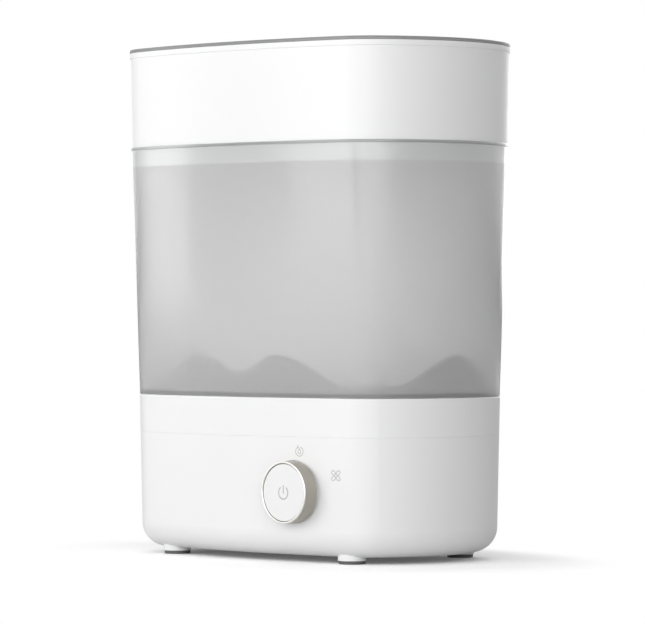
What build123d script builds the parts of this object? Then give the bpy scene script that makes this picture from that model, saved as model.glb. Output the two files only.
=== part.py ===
from build123d import *
import math
import os

os.makedirs("parts", exist_ok=True)

# Millimetres. +Z is up, the front faces -Y, and the origin is on the table under the middle.

# Plan outline at the rim: eight tangent arcs, alike front and back, left and right
rim_width = 295.0
rim_depth = 181.6
front_radius = 485.0
side_radius = 106.0
corner_radius = 41.2

# Heights of the stack
underside_height = 4.8
parting_height = 86.8
base_height = 113.8
large_basket_height = 176.1
small_basket_height = 67.6
lid_edge = 2.5
large_lip_top = base_height + large_basket_height
small_lip_top = large_lip_top + small_basket_height
lid_top = small_lip_top + lid_edge

# How far each outer wall stands in from the rim outline
base_inset_bottom = 9.45
base_inset_top = 7.2
large_inset_bottom = 7.4
large_inset_top = 1.8
large_lip_inset = 0.95
small_inset_bottom = 2.15
small_inset_top = 0.9

# Walls, seats and clearances
base_wall = 2.5
collar_wall = 3.0
basket_wall = 2.2
nest_clearance = 0.45
running_clearance = 0.05
slide_clearance = 0.35
press_clearance = 0.02
edge_break = 0.3


def inset_at(level, low, low_inset, high, high_inset):
    """Inset of a straight tapered wall at a level between two others."""
    return low_inset + (high_inset - low_inset) * (level - low) / (high - low)


def base_inset(level):
    return inset_at(level, underside_height, base_inset_bottom, base_height, base_inset_top)


def large_inset(level):
    return inset_at(level, base_height, large_inset_bottom, large_lip_top, large_inset_top)


def small_inset(level):
    return inset_at(level, large_lip_top, small_inset_bottom, small_lip_top, small_inset_top)


# The corner arc touches the front arc and the side arc from inside
front_centre = front_radius - rim_depth / 2
side_centre = rim_width / 2 - side_radius
front_reach = front_radius - corner_radius
side_reach = side_radius - corner_radius
centre_span = math.hypot(front_centre, side_centre)
along = (front_reach**2 - side_reach**2 + centre_span**2) / (2 * centre_span)
across = math.sqrt(front_reach**2 - along**2)
corner_x = (side_centre * along + front_centre * across) / centre_span
corner_y = (front_centre * along - side_centre * across) / centre_span - front_centre
front_half_angle = math.degrees(math.atan2(corner_x, front_centre + corner_y))
side_half_angle = math.degrees(math.atan2(corner_y, corner_x - side_centre))
corner_angle = 90 - front_half_angle - side_half_angle


def rim_outline(inset):
    """Draw the plan outline, moved in by inset, in the sketch that is open."""
    with BuildLine() as path:
        for turn in (1, -1):
            facing = 0 if turn == 1 else 180
            CenterArc((0, -turn * front_centre), front_radius - inset,
                      facing + 90 - front_half_angle, 2 * front_half_angle)
            CenterArc((-turn * corner_x, turn * corner_y), corner_radius - inset,
                      facing + 90 + front_half_angle, corner_angle)
            CenterArc((-turn * side_centre, 0), side_radius - inset,
                      facing + 180 - side_half_angle, 2 * side_half_angle)
            CenterArc((-turn * corner_x, -turn * corner_y), corner_radius - inset,
                      facing + 180 + side_half_angle, corner_angle)
    make_face(path.edges())


def tapered(low, low_inset, high, high_inset, mode=Mode.ADD):
    """Loft the plan outline from one level and inset to another in the part that is open."""
    with BuildSketch(Plane.XY.offset(low)) as lower:
        rim_outline(low_inset)
    with BuildSketch(Plane.XY.offset(high)) as upper:
        rim_outline(high_inset)
    loft([lower.sketch, upper.sketch], ruled=True, mode=mode)


def round_bar(plane, radius, length, bore=0.0, places=((0, 0),), mode=Mode.ADD):
    """Extrude round bars or tubes from a plane, at places given in that plane."""
    with BuildSketch(plane) as section:
        with Locations(*places):
            Circle(radius)
            if bore > 0:
                Circle(bore, mode=Mode.SUBTRACT)
    extrude(section.sketch, amount=length, mode=mode)


def block(plane, width, height, length, corner=0.0, places=((0, 0),), mode=Mode.ADD):
    """Extrude rectangular bars from a plane, with corners rounded where a radius is given."""
    with BuildSketch(plane) as section:
        with Locations(*places):
            if corner > 0:
                RectangleRounded(width, height, corner)
            else:
                Rectangle(width, height)
    extrude(section.sketch, amount=length, mode=mode)


def front_wall(x, level):
    """Y of the base's outer front wall at a place along its width."""
    radius = front_radius - base_inset(level)
    return front_centre - math.sqrt(radius**2 - x**2)


def finish(builder, name):
    """Name a finished piece and write its file."""
    builder.part.label = name
    export_step(builder.part, f"parts/{name}.step")


# Feet and the long screws that close the base through them
foot_x = 87.5
foot_y = 54.2
foot_radius = 9.8
pad_height = 2.4
pad_rim = 0.6
plug_radius = 4.6
plug_height = 4.4
foot_places = [(sx * foot_x, sy * foot_y) for sx in (-1, 1) for sy in (-1, 1)]
tower_radius = 6.2
tower_top = 60.0
screw_radius = 1.9
screw_head_radius = 3.6
screw_head_height = 2.6
screw_seat = 13.0
screw_length = 44.0

# Knob: the barrel's axis runs along Y, and its flat seat is cut into the curved wall
knob_x = 57.0
knob_z = 49.0
knob_radius = 21.35
knob_length = 11.8
knob_gap = 0.5
knob_wall = 1.25
seat_depth = 0.5
seat_margin = 0.8
seat_pad_radius = 19.0
seat_backing_radius = 25.0
seat_thickness = 6.0
hub_radius = 9.0
seat_y = front_wall(knob_x, knob_z) + seat_depth
knob_face_y = seat_y - knob_gap - knob_length


def knob_plane(y):
    """Plane square to the knob's axis at a depth, looking out of the front."""
    return Plane(origin=(knob_x, y, knob_z), x_dir=(1, 0, 0), z_dir=(0, -1, 0))


# Control board behind the knob
encoder_gap = 1.3
retainer_thickness = 1.2
retainer_gap = 0.2
encoder_size = 24.0
encoder_depth = 6.5
retainer_y = seat_y + seat_thickness + retainer_gap
encoder_y = retainer_y + retainer_thickness + encoder_gap
control_board_y = encoder_y + encoder_depth
board_thickness = 1.6
control_board_width = 62.0
control_board_height = 54.0
control_board_x = 46.0
board_hole_inset = 4.0
post_radius = 3.4
board_screw_radius = 1.4
board_screw_head = 2.8
board_screw_head_height = 1.8
board_screw_length = 7.0
control_post_places = [
    (control_board_x - knob_x + sx * (control_board_width / 2 - board_hole_inset),
     sz * (control_board_height / 2 - board_hole_inset))
    for sx in (-1, 1) for sz in (-1, 1)
]

# Power board on the tub's floor
tub_floor = underside_height + base_wall
power_board_x = -72.0
power_board_width = 84.0
power_board_depth = 76.0
power_board_height = 16.0
power_post_places = [
    (power_board_x + sx * (power_board_width / 2 - board_hole_inset),
     sy * (power_board_depth / 2 - board_hole_inset))
    for sx in (-1, 1) for sy in (-1, 1)
]

# Drying fan, its axis upright, and the filter that it draws through
fan_from_side = 65.5
fan_x = rim_width / 2 - fan_from_side
fan_y = 5.0
fan_size = 60.0
fan_height = 25.0
fan_bottom = 22.0
fan_hole_pitch = 50.0
fan_bore = 27.3
fan_screw_radius = 1.7
fan_screw_head = 3.0
fan_screw_head_height = 2.0
fan_screw_depth = 8.0
fan_top = fan_bottom + fan_height
fan_screw_places = [
    (fan_x + sx * fan_hole_pitch / 2, fan_y + sy * fan_hole_pitch / 2)
    for sx in (-1, 1) for sy in (-1, 1)
]
filter_x = 40.0
filter_z = 46.0
filter_width = 56.0
filter_height = 36.0
filter_corner = 4.0
chamber_wall = 1.8
chamber_margin = slide_clearance + chamber_wall
chamber_depth = 36.8
chamber_back = rim_depth / 2 - chamber_depth
chamber_grille = 1.6
grille_gap = 2.4
filter_start = chamber_back + chamber_grille + grille_gap

# Cord entry in the middle of the back wall
gland_x = -30.0
gland_z = 32.0
gland_radius = 6.0
gland_flange_radius = 9.0
gland_flange = 2.0
gland_pad_radius = 10.5
gland_pad_proud = 1.0
gland_bore = 3.6
gland_length = 14.0


def back_plane(x, y, z):
    """Plane looking out of the back."""
    return Plane(origin=(x, y, z), x_dir=(-1, 0, 0), z_dir=(0, 1, 0))


# Tub solids that several pieces are cut from
tub_rounding = 17.6
outside_reach = rim_depth

with BuildPart() as tub_outside:
    tapered(underside_height, base_inset_bottom, parting_height, base_inset(parting_height))
    fillet(tub_outside.edges().group_by(Axis.Z)[0], tub_rounding)

with BuildPart() as tub_hollow:
    tapered(tub_floor, base_inset(tub_floor) + base_wall, parting_height,
            base_inset(parting_height) + base_wall)
    fillet(tub_hollow.edges().group_by(Axis.Z)[0], tub_rounding - base_wall)

# Hollow of the tub round its towers, posts, knob backing and filter chamber
with BuildPart() as tub_cavity:
    add(tub_hollow.part)
    round_bar(Plane.XY, tower_radius, tower_top, places=foot_places, mode=Mode.SUBTRACT)
    round_bar(Plane.XY, post_radius, power_board_height, places=power_post_places, mode=Mode.SUBTRACT)
    round_bar(Plane.XY, post_radius, fan_bottom, places=fan_screw_places, mode=Mode.SUBTRACT)
    round_bar(knob_plane(seat_y + seat_thickness), seat_backing_radius, outside_reach,
              mode=Mode.SUBTRACT)
    round_bar(knob_plane(control_board_y), post_radius, outside_reach,
              places=control_post_places, mode=Mode.SUBTRACT)
    block(back_plane(filter_x, chamber_back, filter_z), filter_width + 2 * chamber_margin,
          filter_height + 2 * chamber_margin, outside_reach, corner=filter_corner + chamber_wall,
          mode=Mode.SUBTRACT)

# Base tub: white shell with a rounded underside, four feet and all its bosses
grille_slot = 4.0
grille_pitch = 7.0
grille_count = 7
back_wall = -front_wall(gland_x, gland_z)

with BuildPart() as base_housing:
    add(tub_outside.part)
    round_bar(Plane.XY.offset(pad_height), foot_radius, tub_floor - pad_height, places=foot_places)
    add(tub_cavity.part, mode=Mode.SUBTRACT)
    round_bar(knob_plane(seat_y), knob_radius + seat_margin, outside_reach, mode=Mode.SUBTRACT)
    round_bar(knob_plane(seat_y + seat_thickness), seat_pad_radius, seat_thickness)
    round_bar(knob_plane(seat_y + seat_thickness), hub_radius + running_clearance, outside_reach,
              mode=Mode.SUBTRACT)
    round_bar(knob_plane(control_board_y), board_screw_radius + running_clearance,
              board_screw_length, places=control_post_places, mode=Mode.SUBTRACT)
    round_bar(Plane.XY, plug_radius + running_clearance, screw_seat, places=foot_places, mode=Mode.SUBTRACT)
    round_bar(Plane.XY, screw_radius + slide_clearance, tower_top, places=foot_places, mode=Mode.SUBTRACT)
    round_bar(Plane.XY.offset(power_board_height), board_screw_radius + running_clearance,
              -board_screw_length, places=power_post_places, mode=Mode.SUBTRACT)
    round_bar(Plane.XY.offset(fan_bottom), fan_screw_radius + running_clearance,
              -fan_screw_depth, places=fan_screw_places, mode=Mode.SUBTRACT)
    block(back_plane(filter_x, chamber_back + chamber_grille, filter_z), filter_width + 2 * slide_clearance,
          filter_height + 2 * slide_clearance, outside_reach, corner=filter_corner, mode=Mode.SUBTRACT)
    block(back_plane(filter_x, chamber_back, filter_z), grille_slot, filter_height - 2 * filter_corner,
          chamber_grille, mode=Mode.SUBTRACT,
          places=[((i - (grille_count - 1) / 2) * grille_pitch, 0) for i in range(grille_count)])
    round_bar(back_plane(gland_x, back_wall - base_wall, gland_z), gland_pad_radius,
              base_wall + gland_pad_proud)
    round_bar(back_plane(gland_x, back_wall - 2 * base_wall, gland_z), gland_radius + press_clearance,
              4 * base_wall, mode=Mode.SUBTRACT)
finish(base_housing, "base_housing")

# Rubber pads pressed into the feet
with BuildPart() as foot_pads:
    round_bar(Plane.XY, foot_radius - pad_rim, pad_height, places=foot_places)
    chamfer(foot_pads.edges().group_by(Axis.Z)[0], pad_rim)
    round_bar(Plane.XY.offset(pad_height), plug_radius, plug_height, places=foot_places)
finish(foot_pads, "foot_pads")

# Base cover: the collar above the parting line and the deck inside it
deck_thickness = 2.5
deck_top = 96.0
deck_underside = deck_top - deck_thickness
lap_depth = 5.0
lap_wall = 1.8
lap_clearance = 0.2
collar_round = 1.0
plate_x = -32.0
plate_hole = 50.0
clamp_screw_pitch = 66.0
clamp_boss_radius = 4.5
clamp_screw_count = 3
outlet_width = 46.0
outlet_depth = 32.0
duct_wall = 2.0
chimney_height = 7.0
seal_height = 3.0
plate_sheet = 1.0
clamp_height = 2.5
clamp_margin = 4.0
flange_bottom = deck_underside - seal_height - plate_sheet
clamp_bottom = flange_bottom - clamp_height
clamp_places = [
    (plate_x + clamp_screw_pitch * math.cos(math.radians(a)), clamp_screw_pitch * math.sin(math.radians(a)))
    for a in (90 + i * 360 / clamp_screw_count for i in range(clamp_screw_count))
]
clamp_screw_radius = 1.5
clamp_screw_head = 3.0
clamp_screw_head_height = 2.0
clamp_screw_depth = 5.0
lap_inset = base_inset(parting_height) + base_wall + lap_clearance

with BuildPart() as base_cover:
    tapered(parting_height, base_inset(parting_height), base_height, base_inset(base_height))
    fillet(base_cover.edges().group_by(Axis.Z)[-1], collar_round)
    chamfer(base_cover.edges().group_by(Axis.Z)[0], edge_break)
    tapered(parting_height, lap_inset + lap_wall, deck_underside, lap_inset + lap_wall, mode=Mode.SUBTRACT)
    tapered(deck_top, base_inset(deck_top) + collar_wall, base_height, base_inset(base_height) + collar_wall,
            mode=Mode.SUBTRACT)
    tapered(parting_height - lap_depth, lap_inset, parting_height, lap_inset)
    tapered(parting_height - lap_depth, lap_inset + lap_wall, parting_height, lap_inset + lap_wall,
            mode=Mode.SUBTRACT)
    round_bar(Plane.XY.offset(tower_top), tower_radius, deck_underside - tower_top, places=foot_places)
    round_bar(Plane.XY.offset(tower_top), screw_radius + running_clearance,
              screw_length + screw_seat - tower_top, places=foot_places, mode=Mode.SUBTRACT)
    round_bar(Plane.XY.offset(clamp_bottom + clamp_height), clamp_boss_radius,
              deck_underside - clamp_bottom - clamp_height, places=clamp_places)
    round_bar(Plane.XY.offset(clamp_bottom + clamp_height), clamp_screw_radius + running_clearance,
              clamp_screw_depth, places=clamp_places, mode=Mode.SUBTRACT)
    round_bar(Plane.XY.offset(deck_underside), plate_hole, deck_thickness, places=[(plate_x, 0)],
              mode=Mode.SUBTRACT)
    block(Plane.XY.offset(deck_top), outlet_width + 2 * duct_wall, outlet_depth + 2 * duct_wall,
          chimney_height, places=[(fan_x, fan_y)])
    block(Plane.XY.offset(deck_underside), outlet_width, outlet_depth, deck_thickness + chimney_height,
          places=[(fan_x, fan_y)], mode=Mode.SUBTRACT)
finish(base_cover, "base_cover")

# Long screws from the feet into the cover's bosses
with BuildPart() as housing_screws:
    round_bar(Plane.XY.offset(screw_seat - screw_head_height), screw_head_radius, screw_head_height,
              places=foot_places)
    round_bar(Plane.XY.offset(screw_seat), screw_radius, screw_length, places=foot_places)
finish(housing_screws, "housing_screws")

# Stainless dish that boils the water, with its flange under the deck
dish_depth = 10.0
flange_width = 8.0
dish_corner = 4.0
dish_floor = flange_bottom + plate_sheet - dish_depth
dish_radius = plate_hole + plate_sheet
flange_radius = dish_radius + flange_width
dish_plane = Plane(origin=(plate_x, 0, 0), x_dir=(1, 0, 0), z_dir=(0, -1, 0))

with BuildPart() as heating_plate:
    with BuildSketch(dish_plane) as dish_section:
        with BuildLine():
            Polyline((0, dish_floor), (0, dish_floor - plate_sheet), (dish_radius, dish_floor - plate_sheet),
                     (dish_radius, flange_bottom), (flange_radius, flange_bottom),
                     (flange_radius, flange_bottom + plate_sheet), (plate_hole, flange_bottom + plate_sheet),
                     (plate_hole, dish_floor), close=True)
        make_face()
        fillet(dish_section.vertices().group_by(Axis.Y)[0].sort_by(Axis.X)[-1], dish_corner + plate_sheet)
        fillet(dish_section.vertices().group_by(Axis.Y)[1].sort_by(Axis.X)[-1], dish_corner)
    revolve(axis=Axis((plate_x, 0, 0), (0, 0, 1)))
finish(heating_plate, "heating_plate")

with BuildPart() as plate_seal:
    round_bar(Plane.XY.offset(flange_bottom + plate_sheet), flange_radius, seal_height, bore=plate_hole,
              places=[(plate_x, 0)])
finish(plate_seal, "plate_seal")

with BuildPart() as plate_clamp:
    with BuildSketch(Plane.XY.offset(clamp_bottom)):
        with Locations((plate_x, 0)):
            Circle(flange_radius + clamp_margin)
        with Locations(*clamp_places):
            Circle(clamp_boss_radius)
        with Locations((plate_x, 0)):
            Circle(dish_radius + slide_clearance, mode=Mode.SUBTRACT)
        with Locations(*clamp_places):
            Circle(clamp_screw_radius + slide_clearance, mode=Mode.SUBTRACT)
    extrude(amount=clamp_height)
finish(plate_clamp, "plate_clamp")

with BuildPart() as clamp_screws:
    round_bar(Plane.XY.offset(clamp_bottom - clamp_screw_head_height), clamp_screw_head,
              clamp_screw_head_height, places=clamp_places)
    round_bar(Plane.XY.offset(clamp_bottom), clamp_screw_radius,
              clamp_height + clamp_screw_depth - edge_break, places=clamp_places)
finish(clamp_screws, "clamp_screws")

# Tubular element brazed under the dish, with its two cold ends turned down
element_ring = 32.0
element_radius = 3.5
element_gap_angle = 50.0
element_drop = 16.0
dish_underside = dish_floor - plate_sheet
element_level = dish_underside - element_radius
element_ends = [
    (plate_x + element_ring * math.cos(math.radians(a)), element_ring * math.sin(math.radians(a)))
    for a in (element_gap_angle / 2, -element_gap_angle / 2)
]

with BuildPart() as heating_element:
    with BuildSketch(Plane(origin=(plate_x, 0, element_level),
                           x_dir=(math.cos(math.radians(element_gap_angle / 2)),
                                  math.sin(math.radians(element_gap_angle / 2)), 0),
                           z_dir=(math.sin(math.radians(element_gap_angle / 2)),
                                  -math.cos(math.radians(element_gap_angle / 2)), 0))):
        with Locations((element_ring, 0)):
            Circle(element_radius)
    revolve(axis=Axis((plate_x, 0, 0), (0, 0, 1)), revolution_arc=360 - element_gap_angle)
    round_bar(Plane.XY.offset(element_level - element_drop), element_radius, element_drop,
              places=element_ends)
finish(heating_element, "heating_element")

# Thermostat, fuse and sensor pressed on the dish from below
thermostat_radius = 9.0
thermostat_height = 9.0
terminal_width = 6.3
terminal_sheet = 0.8
terminal_length = 8.0
fuse_radius = 2.0
fuse_length = 12.0
sensor_radius = 3.0
sensor_height = 12.0
sensor_offset = 20.0

with BuildPart() as thermostat:
    round_bar(Plane.XY.offset(dish_underside - thermostat_height), thermostat_radius, thermostat_height,
              places=[(plate_x, 0)])
    block(Plane.XY.offset(dish_underside - thermostat_height - terminal_length), terminal_sheet,
          terminal_width, terminal_length,
          places=[(plate_x + s * thermostat_radius / 2, 0) for s in (-1, 1)])
finish(thermostat, "thermostat")

with BuildPart() as thermal_fuse:
    round_bar(Plane(origin=(plate_x - sensor_offset, fuse_length / 2, dish_underside - fuse_radius),
                    x_dir=(1, 0, 0), z_dir=(0, -1, 0)), fuse_radius, fuse_length)
finish(thermal_fuse, "thermal_fuse")

with BuildPart() as temperature_sensor:
    round_bar(Plane.XY.offset(dish_underside - sensor_height), sensor_radius, sensor_height,
              places=[(plate_x, sensor_offset)])
finish(temperature_sensor, "temperature_sensor")

# Fan frame: square housing with a hub on four struts
fan_hub_radius = 13.0
fan_corner = 4.0
fan_floor = 2.5
strut_width = 3.0
bearing_radius = 3.0
shaft_radius = 1.5
bearing_length = 11.0

with BuildPart() as fan_frame:
    block(Plane.XY.offset(fan_bottom), fan_size, fan_size, fan_height, corner=fan_corner,
          places=[(fan_x, fan_y)])
    round_bar(Plane.XY.offset(fan_bottom), fan_bore, fan_height, places=[(fan_x, fan_y)], mode=Mode.SUBTRACT)
    round_bar(Plane.XY.offset(fan_bottom), fan_hub_radius, fan_floor, places=[(fan_x, fan_y)])
    block(Plane.XY.offset(fan_bottom), fan_size - fan_corner, strut_width, fan_floor, places=[(fan_x, fan_y)])
    block(Plane.XY.offset(fan_bottom), strut_width, fan_size - fan_corner, fan_floor, places=[(fan_x, fan_y)])
    round_bar(Plane.XY.offset(fan_bottom), bearing_radius, fan_height, places=[(fan_x, fan_y)],
              mode=Mode.SUBTRACT)
    round_bar(Plane.XY.offset(fan_bottom), fan_screw_radius + slide_clearance, fan_height,
              places=fan_screw_places, mode=Mode.SUBTRACT)
finish(fan_frame, "fan_frame")

with BuildPart() as fan_screws:
    round_bar(Plane.XY.offset(fan_top), fan_screw_head, fan_screw_head_height, places=fan_screw_places)
    round_bar(Plane.XY.offset(fan_top), fan_screw_radius, -(fan_height + fan_screw_depth - edge_break),
              places=fan_screw_places)
finish(fan_screws, "fan_screws")

with BuildPart() as fan_bearing:
    round_bar(Plane.XY.offset(fan_bottom), bearing_radius, bearing_length,
              bore=shaft_radius + running_clearance, places=[(fan_x, fan_y)])
finish(fan_bearing, "fan_bearing")

stator_radius = 9.5
stator_height = 8.0
stator_level = fan_bottom + fan_floor

with BuildPart() as fan_stator:
    round_bar(Plane.XY.offset(stator_level), stator_radius, stator_height,
              bore=bearing_radius + running_clearance, places=[(fan_x, fan_y)])
finish(fan_stator, "fan_stator")

# Impeller: a cup over the stator with pitched blades
cup_inner_radius = 11.0
cup_gap = 1.0
cup_recess = 3.0
cup_bottom = stator_level + cup_gap
cup_top = fan_top - cup_recess
cup_roof = 2.0
blade_count = 7
blade_chord = 17.0
blade_thickness = 1.2
blade_pitch = 35.0
blade_tip_gap = 0.7
blade_half_span = blade_chord / 2 * math.cos(math.radians(blade_pitch)) + blade_thickness / 2
blade_tip = math.sqrt((fan_bore - blade_tip_gap)**2 - blade_half_span**2)
blade_root = (fan_hub_radius + cup_inner_radius) / 2
blade_level = (cup_bottom + cup_top) / 2
shaft_bottom = fan_bottom + cup_gap

with BuildPart() as fan_impeller:
    round_bar(Plane.XY.offset(cup_bottom), fan_hub_radius, cup_top - cup_bottom, places=[(fan_x, fan_y)])
    for i in range(blade_count):
        turn = math.radians(i * 360 / blade_count)
        pitch = math.radians(blade_pitch)
        spoke = Vector(math.cos(turn), math.sin(turn), 0)
        rise = Vector(-math.sin(turn) * math.cos(pitch), math.cos(turn) * math.cos(pitch), math.sin(pitch))
        root = Vector(fan_x, fan_y, blade_level) + spoke * blade_root
        block(Plane(origin=root, x_dir=rise, z_dir=spoke), blade_chord, blade_thickness,
              blade_tip - blade_root)
    round_bar(Plane.XY.offset(cup_bottom), cup_inner_radius, cup_top - cup_roof - cup_bottom,
              places=[(fan_x, fan_y)], mode=Mode.SUBTRACT)
    round_bar(Plane.XY.offset(cup_bottom), shaft_radius, cup_top - cup_bottom, places=[(fan_x, fan_y)],
              mode=Mode.SUBTRACT)
finish(fan_impeller, "fan_impeller")

with BuildPart() as fan_shaft:
    round_bar(Plane.XY.offset(shaft_bottom), shaft_radius, cup_top - shaft_bottom, places=[(fan_x, fan_y)])
finish(fan_shaft, "fan_shaft")

# Duct from the fan up to the deck, with the finned drying heater in it
heater_lift = 5.0
heater_bottom = fan_top + heater_lift
heater_height = 14.0
heater_frame = 2.5
heater_fin = 1.0
heater_fin_count = 9
duct_straight_top = heater_bottom + heater_height + duct_wall
duct_inner = fan_size - 2 * duct_wall
heater_size = duct_inner - 2 * slide_clearance
ledge_width = 24.0
ledge_depth = 2.4

with BuildPart() as air_duct:
    block(Plane.XY.offset(fan_top), fan_size, fan_size, duct_straight_top - fan_top, places=[(fan_x, fan_y)])
    for extra, mode in ((duct_wall, Mode.ADD), (0.0, Mode.SUBTRACT)):
        with BuildSketch(Plane.XY.offset(duct_straight_top)) as wide:
            with Locations((fan_x, fan_y)):
                Rectangle(duct_inner + 2 * extra, duct_inner + 2 * extra)
        with BuildSketch(Plane.XY.offset(deck_underside)) as narrow:
            with Locations((fan_x, fan_y)):
                Rectangle(outlet_width + 2 * extra, outlet_depth + 2 * extra)
        loft([wide.sketch, narrow.sketch], ruled=True, mode=mode)
    block(Plane.XY.offset(fan_top), duct_inner, duct_inner, duct_straight_top - fan_top,
          places=[(fan_x, fan_y)], mode=Mode.SUBTRACT)
    block(Plane.XY.offset(fan_top), ledge_depth, ledge_width, heater_bottom - fan_top,
          places=[(fan_x + s * (duct_inner - ledge_depth) / 2, fan_y) for s in (-1, 1)])
finish(air_duct, "air_duct")

fin_space = (heater_size - 2 * heater_frame - heater_fin_count * heater_fin) / (heater_fin_count + 1)
fin_pitch = fin_space + heater_fin

with BuildPart() as drying_heater:
    block(Plane.XY.offset(heater_bottom), heater_size, heater_size, heater_height, places=[(fan_x, fan_y)])
    block(Plane.XY.offset(heater_bottom), fin_space, heater_size - 2 * heater_frame, heater_height,
          mode=Mode.SUBTRACT,
          places=[(fan_x + (i - heater_fin_count / 2) * fin_pitch, fan_y)
                  for i in range(heater_fin_count + 1)])
finish(drying_heater, "drying_heater")

# Louvred cap over the chimney
cap_clearance = 0.3
cap_wall = 1.8
cap_opening = 5.0
cap_slot = 4.0
cap_slot_pitch = 7.0
cap_slot_count = 6
cap_side_slot_count = 4
cap_roof_bottom = deck_top + chimney_height + cap_opening
cap_inner_width = outlet_width + 2 * (duct_wall + cap_clearance)
cap_inner_depth = outlet_depth + 2 * (duct_wall + cap_clearance)
cap_corner = 1.5

with BuildPart() as outlet_cap:
    block(Plane.XY.offset(deck_top), cap_inner_width + 2 * cap_wall, cap_inner_depth + 2 * cap_wall,
          cap_roof_bottom + cap_wall - deck_top, corner=cap_corner, places=[(fan_x, fan_y)])
    fillet(outlet_cap.edges().group_by(Axis.Z)[-1], cap_corner / 2)
    block(Plane.XY.offset(deck_top), cap_inner_width, cap_inner_depth, cap_roof_bottom - deck_top,
          places=[(fan_x, fan_y)], mode=Mode.SUBTRACT)
    block(Plane.XY.offset(deck_top + chimney_height), cap_slot, rim_depth / 2, cap_opening,
          mode=Mode.SUBTRACT,
          places=[(fan_x + (i - (cap_slot_count - 1) / 2) * cap_slot_pitch, fan_y)
                  for i in range(cap_slot_count)])
    block(Plane.XY.offset(deck_top + chimney_height), rim_depth / 2, cap_slot, cap_opening,
          places=[(fan_x, fan_y + (i - (cap_side_slot_count - 1) / 2) * cap_slot_pitch)
                  for i in range(cap_side_slot_count)], mode=Mode.SUBTRACT)
finish(outlet_cap, "outlet_cap")

# Bush in the back wall where a mains cord would enter
with BuildPart() as cord_gland:
    round_bar(back_plane(gland_x, back_wall + gland_pad_proud, gland_z), gland_flange_radius, gland_flange)
    fillet(cord_gland.edges().group_by(Axis.Y)[-1], collar_round)
    round_bar(back_plane(gland_x, back_wall + gland_pad_proud + gland_flange - gland_length, gland_z),
              gland_radius, gland_length - gland_flange)
    round_bar(back_plane(gland_x, 0, gland_z), gland_bore, outside_reach, mode=Mode.SUBTRACT)
finish(cord_gland, "cord_gland")

# Rear filter tray: a grille panel that follows the back wall, with a cup for the filter behind it
cup_wall = 3.0
cover_slot = 2.4
cover_slot_pitch = 5.5
cover_slot_count = 8
cover_slot_margin = 7.0

with BuildPart() as cup_pocket:
    block(back_plane(filter_x, filter_start, filter_z), filter_width - 2 * cup_wall,
          filter_height - 2 * cup_wall, outside_reach)
    add(tub_hollow.part, mode=Mode.INTERSECT)

with BuildPart() as filter_cover:
    block(back_plane(filter_x, filter_start, filter_z), filter_width, filter_height, outside_reach,
          corner=filter_corner)
    add(tub_outside.part, mode=Mode.INTERSECT)
    add(cup_pocket.part, mode=Mode.SUBTRACT)
    block(back_plane(filter_x, filter_start, filter_z), cover_slot, filter_height - 2 * cover_slot_margin,
          outside_reach, places=[((i - (cover_slot_count - 1) / 2) * cover_slot_pitch, 0)
                                 for i in range(cover_slot_count)], mode=Mode.SUBTRACT)
finish(filter_cover, "filter_cover")

# Pleated filter in its card frame
filter_depth = 12.0
filter_frame = 1.5
pleat_count = 10
pleat_sheet = 0.8
filter_fit = 0.3
filter_outer_width = filter_width - 2 * cup_wall - 2 * filter_fit
filter_outer_height = filter_height - 2 * cup_wall - 2 * filter_fit
pleat_span = filter_outer_width - 2 * filter_frame
pleat_step = pleat_span / (2 * pleat_count)

with BuildPart() as air_filter:
    block(back_plane(filter_x, filter_start, filter_z), filter_outer_width, filter_outer_height, filter_depth)
    block(back_plane(filter_x, filter_start, filter_z), pleat_span, filter_outer_height - 2 * filter_frame,
          filter_depth, mode=Mode.SUBTRACT)
    with BuildSketch(Plane.XY.offset(filter_z - filter_outer_height / 2 + filter_frame)) as pleats:
        crest = [
            (filter_x - pleat_span / 2 + i * pleat_step,
             filter_start + pleat_sheet + (i % 2) * (filter_depth - 2 * pleat_sheet))
            for i in range(2 * pleat_count + 1)
        ]
        with BuildLine():
            Polyline(*crest, *[(x, y - pleat_sheet) for x, y in reversed(crest)], close=True)
        make_face()
    extrude(pleats.sketch, amount=filter_outer_height - 2 * filter_frame)
finish(air_filter, "air_filter")

# Knob barrel: thin metal ring with a softened front edge
ring_bore = knob_radius - knob_wall
knob_edge = 0.45

with BuildPart() as knob_ring:
    round_bar(knob_plane(knob_face_y), knob_radius, -knob_length, bore=ring_bore)
    fillet(knob_ring.edges().group_by(Axis.Y)[0], knob_edge)
finish(knob_ring, "knob_ring")

# Button: white disc inside the barrel, with a stem through the hub
button_gap = 0.4
button_inset = 0.35
button_thickness = 3.2
button_edge = 0.7
button_travel = 1.0
stem_radius = 3.5
stem_clearance = 0.3
core_gap = 2.4
spring_pocket_radius = 6.2
spring_pocket_depth = 3.0
hub_entry = 3.0
switch_height = 2.0
switch_gap = 0.3
switch_y = control_board_y - switch_height
button_radius = ring_bore - button_gap
button_y = knob_face_y + button_inset
button_back_y = button_y + button_thickness
core_y = button_back_y + core_gap
hub_end_y = encoder_y + hub_entry
stem_end_y = switch_y - button_travel - switch_gap

with BuildPart() as power_button:
    round_bar(knob_plane(button_y), button_radius, -button_thickness)
    fillet(power_button.edges().group_by(Axis.Y)[0], button_edge)
    round_bar(knob_plane(button_back_y), stem_radius, -(stem_end_y - button_back_y))
finish(power_button, "power_button")

# Knob core: disc pressed in the barrel, and the hollow hub through the housing
groove_depth = 1.2
groove_slack = 0.1
core_back_y = knob_face_y + knob_length

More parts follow.
